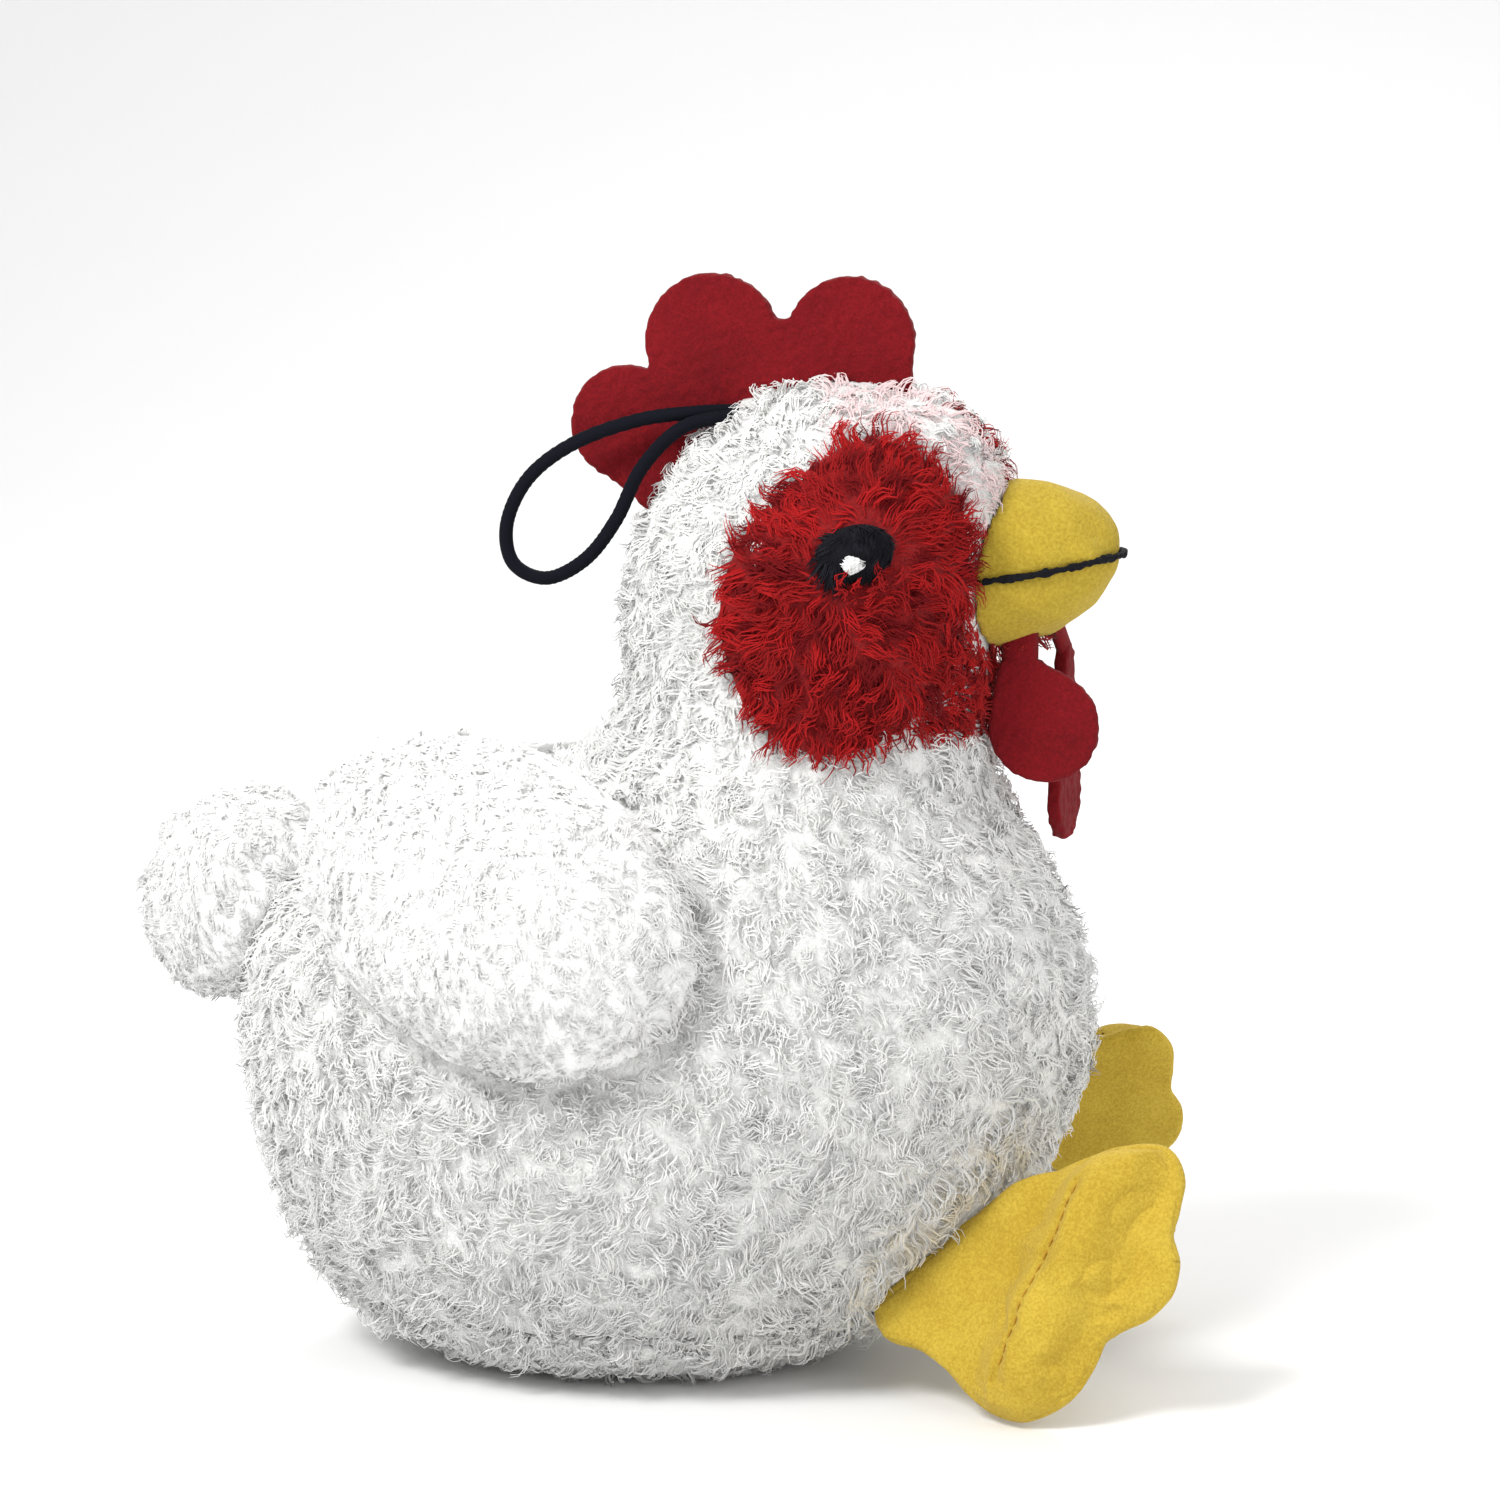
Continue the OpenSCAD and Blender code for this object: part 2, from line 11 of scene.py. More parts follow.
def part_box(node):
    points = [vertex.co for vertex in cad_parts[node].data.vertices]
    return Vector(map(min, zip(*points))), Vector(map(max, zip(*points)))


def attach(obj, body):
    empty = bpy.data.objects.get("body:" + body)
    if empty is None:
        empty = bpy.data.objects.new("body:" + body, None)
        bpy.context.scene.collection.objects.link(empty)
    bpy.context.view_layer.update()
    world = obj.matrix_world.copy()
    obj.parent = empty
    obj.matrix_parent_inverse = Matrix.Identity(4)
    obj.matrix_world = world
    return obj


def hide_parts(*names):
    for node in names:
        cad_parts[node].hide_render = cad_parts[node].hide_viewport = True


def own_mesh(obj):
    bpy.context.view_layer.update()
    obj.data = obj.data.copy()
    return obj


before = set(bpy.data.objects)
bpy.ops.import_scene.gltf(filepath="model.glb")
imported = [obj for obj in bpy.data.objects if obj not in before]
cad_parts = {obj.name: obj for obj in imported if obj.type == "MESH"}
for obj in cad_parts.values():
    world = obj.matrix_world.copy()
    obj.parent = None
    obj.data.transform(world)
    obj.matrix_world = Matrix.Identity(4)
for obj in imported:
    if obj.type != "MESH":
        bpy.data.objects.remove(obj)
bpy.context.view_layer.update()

# Studio: a long-lens camera a little ahead of the hen's right side, a pale
# floor that runs into the backdrop, and three large soft lamps.
LOOK_AT = Vector((0.0155, 0.0, 0.108))
AZIMUTH = math.radians(9)
ELEVATION = math.radians(9)
DISTANCE = 0.85
VIEW_WIDTH = 0.262

camera_data = bpy.data.cameras.new("camera")
camera_data.sensor_width = 36
camera_data.lens = 36 * DISTANCE / VIEW_WIDTH
camera = bpy.data.objects.new("camera", camera_data)
away = Vector((
    math.sin(AZIMUTH) * math.cos(ELEVATION),
    -math.cos(AZIMUTH) * math.cos(ELEVATION),
    math.sin(ELEVATION),
))
camera.location = LOOK_AT + away * DISTANCE
camera.rotation_euler = (-away).to_track_quat("-Z", "Y").to_euler()
bpy.context.scene.collection.objects.link(camera)
bpy.context.scene.camera = camera
bpy.context.scene.view_settings.view_transform = "Standard"


def lamp(name, place, size, power):
    data = bpy.data.lights.new(name, "AREA")
    data.shape = "DISK"
    data.size = size
    data.energy = power
    obj = bpy.data.objects.new(name, data)
    obj.location = place
    aim = Vector((0.0, 0.0, 0.08)) - Vector(place)
    obj.rotation_euler = aim.to_track_quat("-Z", "Y").to_euler()
    bpy.context.scene.collection.objects.link(obj)


lamp("key_lamp", (-0.45, -0.70, 0.95), 0.45, 12.0)
lamp("fill_lamp", (0.85, -0.55, 0.45), 0.7, 2.5)
lamp("back_lamp", (0.1, 0.8, 0.9), 0.8, 7.0)
world = bpy.data.worlds.new("studio")
world.use_nodes = True
world.node_tree.nodes["Background"].inputs["Color"].default_value = (1, 1, 1, 1)
world.node_tree.nodes["Background"].inputs["Strength"].default_value = 0.62
bpy.context.scene.world = world


def plain_material(name, colour, roughness=0.8, sheen=0.0, metallic=0.0):
    material = bpy.data.materials.new(name)
    material.use_nodes = True
    shader = material.node_tree.nodes["Principled BSDF"]
    shader.inputs["Base Color"].default_value = (*colour, 1)
    shader.inputs["Roughness"].default_value = roughness
    shader.inputs["Sheen Weight"].default_value = sheen
    shader.inputs["Specular IOR Level"].default_value = 0.15
    shader.inputs["Metallic"].default_value = metallic
    return material


def mesh_object(name, points, faces, material):
    """A smooth mesh object from arrays of points and of same-sized faces."""
    points = np.asarray(points, np.float32)
    faces = np.asarray(faces, np.int32)
    corners = faces.shape[1]
    mesh = bpy.data.meshes.new(name)
    mesh.vertices.add(len(points))
    mesh.vertices.foreach_set("co", points.ravel())
    mesh.loops.add(faces.size)
    mesh.loops.foreach_set("vertex_index", faces.ravel())
    mesh.polygons.add(len(faces))
    mesh.polygons.foreach_set("loop_start", np.arange(0, faces.size, corners, dtype=np.int32))
    mesh.polygons.foreach_set("use_smooth", np.ones(len(faces), bool))
    mesh.update(calc_edges=True)
    mesh.materials.append(material)
    obj = bpy.data.objects.new(name, mesh)
    bpy.context.scene.collection.objects.link(obj)
    return obj


FLOOR_BACK = 0.9
COVE = 0.5
floor_rows = [(y, 0.0) for y in np.linspace(-1.2, FLOOR_BACK, 8)]
for a in np.linspace(0.2, math.pi / 2, 9):
    floor_rows.append((FLOOR_BACK + COVE * math.sin(a), COVE - COVE * math.cos(a)))
floor_rows.append((FLOOR_BACK + COVE, 2.2))
floor_points = [(x, y, z) for y, z in floor_rows for x in (-2.0, 2.0)]
floor_faces = [(2 * i, 2 * i + 1, 2 * i + 3, 2 * i + 2) for i in range(len(floor_rows) - 1)]
floor_paper = plain_material("floor_paper", (0.86, 0.86, 0.86), 0.9)
floor = mesh_object("floor", floor_points, floor_faces, floor_paper)


# Hanging loop: black braided cord, both ends sewn into the crown seam beside
# the comb. Eight-strand braid shows as slanting ribs along it.
LOOP = [
    (14, -3.4, 167.6), (7, -5.4, 167.4), (-3, -6, 166), (-14, -6.5, 162), (-22, -7, 156), (-26, -7, 148),
    (-25, -7, 141), (-19, -7.5, 138.5), (-12, -8, 142), (-6.5, -8.5, 149), (-2, -8.5, 158), (5, -8, 165),
    (13.5, -6.4, 167),
]
LOOP_D = 0.0025
BRAID_PITCH = 0.0042


def spline(route, steps):
    """Smooth line through route points, in the same way as the cord's solid."""
    r = np.asarray(route, float)
    m = len(r)
    line = []
    for i in range(m - 1):
        a, b, c, e = r[max(i - 1, 0)], r[i], r[i + 1], r[min(i + 2, m - 1)]
        for k in range(steps):
            t = k / steps
            line.append(0.5 * (
                2 * b + (c - a) * t + (2 * a - 5 * b + 4 * c - e) * t ** 2 + (3 * b - a - 3 * c + e) * t ** 3
            ))
    line.append(r[-1])
    return np.array(line)


def tube(line, radius, side, sides=12, ribs=None):
    """Points and faces of a round tube along a line; ribs(along, round) scales its radius."""
    line = np.asarray(line, float)
    m = len(line)
    step = np.gradient(line, axis=0)
    step /= np.linalg.norm(step, axis=1)[:, None]
    u = np.cross(step, side)
    u /= np.linalg.norm(u, axis=1)[:, None]
    v = np.cross(step, u)
    run = np.concatenate([[0], np.cumsum(np.linalg.norm(np.diff(line, axis=0), axis=1))])
    angle = np.arange(sides) * 2 * math.pi / sides
    scale = np.ones((m, sides)) if ribs is None else ribs(run[:, None], angle[None, :])
    radius = np.broadcast_to(radius, (m,))[:, None] * scale
    ring = (
        line[:, None]
        + (radius * np.cos(angle))[:, :, None] * u[:, None]
        + (radius * np.sin(angle))[:, :, None] * v[:, None]
    )
    points = np.concatenate([ring.reshape(-1, 3), line[:1], line[-1:]])
    faces = []
    for i in range(m - 1):
        for k in range(sides):
            a, b = i * sides + k, i * sides + (k + 1) % sides
            faces += [(a, a + sides, b + sides), (a, b + sides, b)]
    for k in range(sides):
        faces.append((m * sides, k, (k + 1) % sides))
        faces.append((m * sides + 1, (m - 1) * sides + (k + 1) % sides, (m - 1) * sides + k))
    return points, faces


def braid(run, angle):
    turn = 2 * math.pi * run / BRAID_PITCH
    one = np.abs(np.sin(2 * (angle + turn)))
    two = np.abs(np.sin(2 * (angle - turn)))
    return 0.90 + 0.10 * np.maximum(one, two)


loop_line = spline(np.array(LOOP) * 0.001, 16)
black_cord = plain_material("black_cord", (0.0035, 0.004, 0.008), 0.9, 0.0)
loop_points, loop_faces = tube(loop_line, LOOP_D / 2, (0, 1, 0), sides=14, ribs=braid)
hang_loop = mesh_object("hang_loop_braid", loop_points, loop_faces, black_cord)
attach(hang_loop, "hen")
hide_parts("hang_loop")


# Body skin: two side panels and a belly gusset of white plush, sewn inside out
# and turned. The backing cloth is painted grey: shade between the curls of the long pile.
def ripple(points, size, seed, count=20):
    """Smooth random waves over space, about -1 to 1, repeated the same way for a seed."""
    pick = np.random.default_rng(seed)
    way = pick.normal(size=(count, 3))
    way /= np.linalg.norm(way, axis=1)[:, None]
    way *= 2 * math.pi / size * pick.uniform(0.6, 1.5, count)[:, None]
    return np.sin(points @ way.T + pick.uniform(0, 2 * math.pi, count)).sum(1) / math.sqrt(count)


def surface_of(shell):
    """Points, normals and triangles of an open bmesh, which is then closed."""
    bmesh.ops.triangulate(shell, faces=shell.faces)
    shell.normal_update()
    points = np.array([v.co for v in shell.verts])
    normals = np.array([v.normal for v in shell.verts])
    faces = np.array([[v.index for v in f.verts] for f in shell.faces])
    shell.free()
    return points, normals, faces


def evaluated(shell, *modifiers):
    """The shell after modifiers, each given as (type, settings): points, normals, triangles."""
    mesh = bpy.data.meshes.new("blank")
    shell.to_mesh(mesh)
    shell.free()
    obj = bpy.data.objects.new("blank", mesh)
    bpy.context.scene.collection.objects.link(obj)
    for kind, settings in modifiers:
        modifier = obj.modifiers.new(kind, kind)
        for key, value in settings.items():
            setattr(modifier, key, value)
    seen = bpy.data.meshes.new_from_object(obj.evaluated_get(bpy.context.evaluated_depsgraph_get()))
    bpy.data.objects.remove(obj)
    work = bmesh.new()
    work.from_mesh(seen)
    return surface_of(work)


def cad_shell(node):
    """The node's own mesh with its shared corners joined, as an open bmesh."""
    shell = bmesh.new()
    shell.from_mesh(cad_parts[node].data)
    bmesh.ops.remove_doubles(shell, verts=shell.verts, dist=2e-6)
    return shell


def cad_copy(node, levels=0):
    """The node's surface, rounded by subdivision."""
    shell = cad_shell(node)
    if not levels:
        return surface_of(shell)
    bmesh.ops.join_triangles(
        shell, faces=shell.faces, angle_face_threshold=math.radians(40), angle_shape_threshold=math.pi,
    )
    return evaluated(shell, ("SUBSURF", {"levels": levels, "render_levels": levels}))


def soft_copy(node, cell, rounds):
    """The node's surface cut into small even faces, with its edges rounded off like cloth."""
    return evaluated(
        cad_shell(node),
        ("REMESH", {"mode": "VOXEL", "voxel_size": cell}),
        ("SMOOTH", {"factor": 0.5, "iterations": rounds}),
    )


def cloth_piece(name, node, body, material, surface):
    """A visible cloth skin in place of a CAD node."""
    obj = mesh_object(name, surface[0], surface[2], material)
    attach(obj, body)
    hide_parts(node)
    return obj


def cloth_material(name, light, dark, speck, relief, rough=0.9, sheen=0.25, patch=0.012):
    """Brushed cloth: two tones in fine specks and broad patches, with a fibrous relief."""
    material = plain_material(name, light, rough, sheen)
    tree = material.node_tree
    shader = tree.nodes["Principled BSDF"]
    place = tree.nodes.new("ShaderNodeTexCoord")

    def noise(size, detail):
        node = tree.nodes.new("ShaderNodeTexNoise")
        node.inputs["Scale"].default_value = 1 / size
        node.inputs["Detail"].default_value = detail
        node.inputs["Roughness"].default_value = 0.6
        tree.links.new(place.outputs["Object"], node.inputs["Vector"])
        return node

    fine = noise(speck, 3)
    broad = noise(patch, 2)
    blend = tree.nodes.new("ShaderNodeMix")
    blend.data_type = "FLOAT"
    blend.inputs["Factor"].default_value = 0.35
    tree.links.new(fine.outputs["Fac"], blend.inputs["A"])
    tree.links.new(broad.outputs["Fac"], blend.inputs["B"])
    tones = tree.nodes.new("ShaderNodeValToRGB")
    tones.color_ramp.elements[0].position = 0.38
    tones.color_ramp.elements[0].color = (*dark, 1)
    tones.color_ramp.elements[1].position = 0.62
    tones.color_ramp.elements[1].color = (*light, 1)
    tree.links.new(blend.outputs["Result"], tones.inputs["Fac"])
    tree.links.new(tones.outputs["Color"], shader.inputs["Base Color"])
    fibres = noise(speck * 0.8, 4)
    bump = tree.nodes.new("ShaderNodeBump")
    bump.inputs["Strength"].default_value = 0.6
    bump.inputs["Distance"].default_value = relief
    tree.links.new(fibres.outputs["Fac"], bump.inputs["Height"])
    tree.links.new(bump.outputs["Normal"], shader.inputs["Normal"])
    return material


# The backing's grey is painted shade for the gaps between tufts; its specks and patches are cloth texture.
backing = cloth_material(
    "plush_backing_painted_shade", (0.84, 0.84, 0.82), (0.66, 0.66, 0.65),
    speck=0.0007, relief=0.0006, rough=0.95,
)
for side in ("right", "left"):
    points, normals, faces = cad_copy(f"body_panel_{side}", 1)
    points += normals * (0.0005 * ripple(points, size=0.006, seed=3))[:, None]
    skin = (points, normals, faces)
    cloth_piece(f"body_skin_{side}", f"body_panel_{side}", "hen", backing, skin)
gusset_skin = cad_copy("belly_gusset", 1)
cloth_piece("belly_gusset_skin", "belly_gusset", "hen", backing, gusset_skin)


# Pile: fibres that stand in curly tufts on the backing cloth. Each fibre is a thin
# tapering three-sided thread, and each tuft leans and curls its own way.
def rooted(surfaces, gap, keep, seed):
    """Random roots about gap apart on the surfaces, where keep allows: places and normals."""
    pick = np.random.default_rng(seed)
    spots, ways = [], []
    for points, normals, faces in surfaces:
        a, b, c = points[faces[:, 0]], points[faces[:, 1]], points[faces[:, 2]]
        area = np.linalg.norm(np.cross(b - a, c - a), axis=1) / 2
        count = int(area.sum() / gap ** 2 * 3)
        face = pick.choice(len(faces), count, p=area / area.sum())
        s, t = np.sqrt(pick.uniform(size=count)), pick.uniform(size=count)
        share = np.stack([1 - s, s * (1 - t), s * t], 1)
        corner = faces[face]
        p = (points[corner] * share[:, :, None]).sum(1)
        n = (normals[corner] * share[:, :, None]).sum(1)
        n /= np.linalg.norm(n, axis=1)[:, None] + 1e-9
        chosen = keep(p, n)
        spots.append(p[chosen])
        ways.append(n[chosen])
    p, n = np.concatenate(spots), np.concatenate(ways)
    first = one_per_cell(p, gap)
    return p[first], n[first]


# Large primes that give neighbouring cubes of space very different numbers
CELL_PRIMES = np.array([73856093, 19349663, 83492791])


def one_per_cell(points, gap):
    """Index of one point in each occupied cube of space, each cube having a number of its own."""
    cell = np.floor(points / gap).astype(np.int64) * CELL_PRIMES
    key = cell[:, 0] ^ cell[:, 1] ^ cell[:, 2]
    return np.unique(key, return_index=True)[1]


def tufts(points, gap, seed):
    """Which tuft each root belongs to, and the tufts' middles."""
    pick = np.random.default_rng(seed)
    first = one_per_cell(points + pick.uniform(0, 1, 3), gap)
    middles = points[first] + pick.normal(0, gap * 0.2, (len(first), 3))
    tree = KDTree(len(middles))
    for i, middle in enumerate(middles):
        tree.insert(middle, i)
    tree.balance()
    return np.array([tree.find(p)[1] for p in points]), middles


# How far a fibre is shaded by the lie of the cloth under it, which makes the pile look soft
PILE_SOFTNESS = 0.72


def strands(
    points, normals, flow, length, width, lift, curl, tuft, seed,
    rings=5, turns=(0.6, 1.2), stray=0.7, soft=PILE_SOFTNESS,
):
    """Fibres from their roots: corners and soft shading of each, one fibre's triangles, and their tufts."""
    pick = np.random.default_rng(seed)
    count = len(points)
    which, middles = tufts(points, tuft, seed + 1)
    many = len(middles)
    along = flow - normals * (flow * normals).sum(1)[:, None]
    along /= np.linalg.norm(along, axis=1)[:, None] + 1e-9
    across = np.cross(normals, along)
    turn = stray * (2 * ripple(points, size=0.016, seed=seed + 2) + pick.normal(0, 1, many)[which])
    turn += pick.normal(0, 0.16, count)
    lay = along * np.cos(turn)[:, None] + across * np.sin(turn)[:, None]
    side = np.cross(normals, lay)
    size = length * pick.uniform(0.7, 1.25, many)[which] * pick.uniform(0.8, 1.15, count)
    rise = lift * pick.uniform(0.6, 1.4, many)[which]
    phase = pick.uniform(0, 2 * math.pi, many)[which] + pick.normal(0, 0.3, count)
    curls = pick.uniform(*turns, many)[which]
    pull = (middles[which] - points) * 0.7
    pull -= normals * (pull * normals).sum(1)[:, None]
    t = np.linspace(0, 1, rings)
    line = np.zeros((count, rings, 3))
    for i, s in enumerate(t):
        up = size * rise * (s - 0.55 * s ** 2)
        out = size * (1 - 0.5 * rise) * s ** 1.4
        bend = 2 * math.pi * curls * s + phase
        wave = curl * size * s ** 0.7
        line[:, i] = (
            points - normals * 0.0003
            + normals * (up + 0.6 * wave * (np.sin(bend) - np.sin(phase)))[:, None]
            + lay * out[:, None]
            + side * (wave * (np.cos(bend) - np.cos(phase)))[:, None]
            + pull * (s ** 1.2)
        )
    line[:, :, 2] = np.maximum(line[:, :, 2], 0.0004)
    step = np.gradient(line, axis=1)
    step /= np.linalg.norm(step, axis=2)[:, :, None] + 1e-12
    u = np.cross(step, side[:, None])
    u /= np.linalg.norm(u, axis=2)[:, :, None] + 1e-9
    v = np.cross(step, u)
    thick = width * pick.uniform(0.75, 1.25, count)[:, None] * (1 - 0.75 * t ** 1.5)[None, :] / 2
    ring = np.zeros((count, rings, 3, 3))
    facing = np.zeros((count, rings, 3, 3))
    for k in range(3):
        angle = 2 * math.pi * k / 3
        outward = math.cos(angle) * u + math.sin(angle) * v
        ring[:, :, k] = line + thick[:, :, None] * outward
        facing[:, :, k] = soft * normals[:, None] + (1 - soft) * outward
    facing /= np.linalg.norm(facing, axis=3)[..., None] + 1e-9
    faces = []
    for i in range(rings - 1):
        for k in range(3):
            a, b = 3 * i + k, 3 * i + (k + 1) % 3
            faces += [(a, b, b + 3), (a, b + 3, a + 3)]
    last = 3 * (rings - 1)
    faces += [(0, 2, 1), (last, last + 1, last + 2)]
    fibres = np.stack([ring.reshape(count, rings * 3, 3), facing.reshape(count, rings * 3, 3)])
    return fibres, np.array(faces), which


MOST_FACES = 190000


def pile(name, fibres, faces, tone, materials, body):
    """Fibres made into mesh pieces, each of one tone and under the face limit."""
    made = []
    for number, material in enumerate(materials):
        chosen, facing = fibres[:, tone == number]
        room = MOST_FACES // len(faces)
        for first in range(0, len(chosen), room):
            some = chosen[first:first + room]
            shift = np.arange(len(some))[:, None, None] * some.shape[1]
            piece = mesh_object(
                f"{name}_{number}_{first // room}", some.reshape(-1, 3),
                (faces[None] + shift).reshape(-1, 3), material,
            )
            soft_normals = facing[first:first + room].reshape(-1, 3)
            piece.data.normals_split_custom_set_from_vertices(soft_normals.tolist())
            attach(piece, body)
            made.append(piece)
    return made


# Shares of the tufts in each tone of a pile, bright ones first
WHITE_SHARES = [0.5, 0.34, 0.16]
RED_SHARES = [0.45, 0.37, 0.18]
SHORT_SHARES = [0.6, 0.3, 0.1]
FLOSS_SHARES = [0.6, 0.4]


def toned(which, shares, seed):
    """A tone for each tuft, picked by the shares, given back for each fibre."""
    return np.random.default_rng(seed).choice(len(shares), which.max() + 1, p=shares)[which]


def distance(nodes, points):
    """Each point's distance to the nearest of the nodes' surfaces."""
    out = np.full(len(points), 1.0)
    for node in nodes:
        corners, _, faces = cad_copy(node)
        tree = BVHTree.FromPolygons(corners.tolist(), faces.tolist())
        out = np.minimum(out, [tree.find_nearest(p)[3] for p in points])
    return out


# Body pile: white, longest on the belly and chest, combed down and back, and
# pressed flat under the wings and feet. Some tufts are pink by the red patches.
# By the feet some are painted yellowish, as the feet's shade and yellow reflection on the fur.
def body_outside(p, n):
    """The outer face only, told by a line up the middle that leans forward into the neck."""
    forward = np.interp(p[:, 2], [0.05, 0.11], [0.0, 0.027])
    line = np.stack([forward, np.zeros(len(p)), np.clip(p[:, 2], 0.05, 0.15)], 1)
    return (((p - line) * n).sum(1) > 0.003) & (p[:, 2] > 0.0012)


# Fibre lengths: standing free, added low on the belly, pressed by a wing or foot, beside
# the red patches, next to the floor, and against the beak. Then how near counts as pressed.
FREE = 0.0044
LOW_EXTRA = 0.0012
PRESSED = 0.0022
BY_PATCH = 0.0036
BY_FLOOR = 0.0034
BY_BEAK = 0.0026
PRESSED_WITHIN = 0.0035

body_surfaces = [cad_copy(node, 1) for node in ("body_panel_right", "body_panel_left", "belly_gusset")]
roots, ways = rooted(body_surfaces, gap=0.00098, keep=body_outside, seed=5)
to_beak = distance(["beak_upper", "beak_lower"], roots)
covered = (to_beak < 0.0003) | (distance(["comb"], roots) < 0.0012) | (distance(["tail"], roots) < 0.0002)
covered |= distance(["face_patch_right", "face_patch_left"], roots) < 0.0002
roots, ways, to_beak = roots[~covered], ways[~covered], to_beak[~covered]
to_patch = distance(["face_patch_right", "face_patch_left"], roots)
wing_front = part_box("wing_right_cover")[1][0]
under = distance(["wing_right_lining", "wing_left_lining"], roots) < PRESSED_WITHIN
under &= roots[:, 0] < wing_front - 0.004
under |= distance(["foot_right_sole", "foot_left_sole"], roots) < PRESSED_WITHIN
low = np.clip((0.10 - roots[:, 2]) / 0.08, 0, 1)
reach = np.where(under, PRESSED, FREE + LOW_EXTRA * low)
reach = np.where(to_patch < 0.002, BY_PATCH, reach)
reach = np.where(roots[:, 2] < 0.008, BY_FLOOR, reach)
reach = np.where(to_beak < 0.002, BY_BEAK, reach)
lift = np.where(under, 0.3, 0.8)
flow = np.tile([-0.35, 0.0, -0.9], (len(roots), 1))
flow[roots[:, 2] < 0.010] = [-1.0, 0.0, 0.0]
crown = roots[:, 2] > 0.158
flow[crown] = roots[crown] - np.array([0.028, 0.0, 0.150])
white_tones = [
    plain_material("white_pile_bright", (0.87, 0.87, 0.85), 0.8, 0.2),
    plain_material("white_pile_mid", (0.80, 0.80, 0.78), 0.8, 0.2),
    plain_material("white_pile_shade", (0.71, 0.71, 0.695), 0.85, 0.2),
    plain_material("white_pile_pink", (0.88, 0.68, 0.68), 0.8, 0.2),
    # Painted shade and yellow reflection from the feet, for the tufts beside them
    plain_material("white_pile_foot_shade", (0.82, 0.77, 0.65), 0.8, 0.2),
]
fibres, fibre_faces, tuft = strands(
    roots, ways, flow, reach, width=0.00034, lift=lift, curl=0.18, tuft=0.0027, seed=21, stray=0.75,
)
tone = toned(tuft, WHITE_SHARES, seed=9)
chance = np.random.default_rng(10).uniform(size=tuft.max() + 1)[tuft]
forehead = (roots[:, 2] > 0.146) & (roots[:, 0] > 0.030)
tone[forehead & (chance < 0.75)] = 3
# Painted shade and yellow reflection: tufts near the feet take the warm tone
near_feet_shade = distance(["foot_right_upper", "foot_left_upper"], roots) < 0.009
tone[near_feet_shade & (chance < 0.5)] = 4
red_tones = [
    plain_material("red_pile_bright", (0.40, 0.009, 0.010), 0.85, 0.06),
    plain_material("red_pile_mid", (0.29, 0.007, 0.008), 0.85, 0.06),
    plain_material("red_pile_shade", (0.16, 0.004, 0.006), 0.9, 0.05),
]
# Red strands stray past the patches, over the throat and the edge of the forehead
throat = (roots[:, 2] > 0.113) & (roots[:, 2] < 0.150) & (roots[:, 0] > 0.046)
forehead_edge = (roots[:, 2] > 0.146) & (roots[:, 0] > 0.047) & (roots[:, 1] > -0.003) & (chance < 0.6)
strayed = throat | forehead_edge
pile("body_pile", fibres[:, ~strayed], fibre_faces, tone[~strayed], white_tones, "hen")
cheek = toned(tuft, RED_SHARES, seed=12)[strayed]
pile("cheek_pile", fibres[:, strayed], fibre_faces, cheek, red_tones, "hen")


def on_throat(p, n):
    return (p[:, 2] > 0.115) & (p[:, 2] < 0.148) & (p[:, 0] > 0.045) & (n[:, 0] > 0.1)


roots, ways = rooted(body_surfaces, gap=0.00075, keep=on_throat, seed=13)
to_beak = distance(["beak_upper", "beak_lower"], roots)
roots, ways, to_beak = roots[to_beak > 0.0003], ways[to_beak > 0.0003], to_beak[to_beak > 0.0003]
flow = np.tile([0.2, 0.0, -1.0], (len(roots), 1))
reach = np.where(to_beak < 0.002, 0.0028, 0.0052)
lift = np.full(len(roots), 0.6)
fibres, fibre_faces, tuft = strands(
    roots, ways, flow, reach, width=0.00038, lift=lift, curl=0.16, tuft=0.0028, seed=14,
    turns=(0.5, 1.0), stray=0.4,
)
pile("throat_pile", fibres, fibre_faces, toned(tuft, RED_SHARES, seed=15), red_tones, "hen")


# Tail and wings: short, dense, brighter pile over a stuffed lobe. Each wing is
# backed with smooth lining cloth, and the seam between them runs round its rim.
short_tones = [
    plain_material("short_pile_bright", (0.89, 0.89, 0.88), 0.8, 0.2),
    plain_material("short_pile_mid", (0.86, 0.86, 0.85), 0.8, 0.2),
    plain_material("short_pile_shade", (0.82, 0.82, 0.81), 0.85, 0.2),
]
short_backing = cloth_material(
    "short_backing", (0.90, 0.90, 0.89), (0.80, 0.80, 0.79),
    speck=0.0007, relief=0.0005, rough=0.95,
)
lining_cloth = cloth_material(
    "lining_cloth", (0.85, 0.85, 0.84), (0.78, 0.78, 0.77),
    speck=0.0005, relief=0.0002, rough=0.9,
)
# Spacing of the short fibres, and how far back from a wing's front tip its pile lies forward
SHORT_GAP = 0.00072
WING_FRONT = 0.012


def short_pile(name, surface, body, keep, gap, flow, seed, front=1.0):
    """Short dense pile on a surface, where keep allows; ahead of front it is longer and lies forward."""
    p, n = rooted([surface], gap, keep, seed)
    ahead = np.clip((p[:, 0] - front) / 0.008, 0, 1)
    way = np.where(ahead[:, None] > 0.3, [1.0, 0.0, -0.5], flow)
    reach = 0.0024 + 0.0024 * ahead
    lift = 0.8 - 0.4 * ahead
    f, faces, which = strands(
        p, n, way, reach, width=0.0003, lift=lift, curl=0.22, tuft=0.0018, seed=seed, rings=4, soft=0.88,
    )
    pile(name, f, faces, toned(which, SHORT_SHARES, seed), short_tones, body)


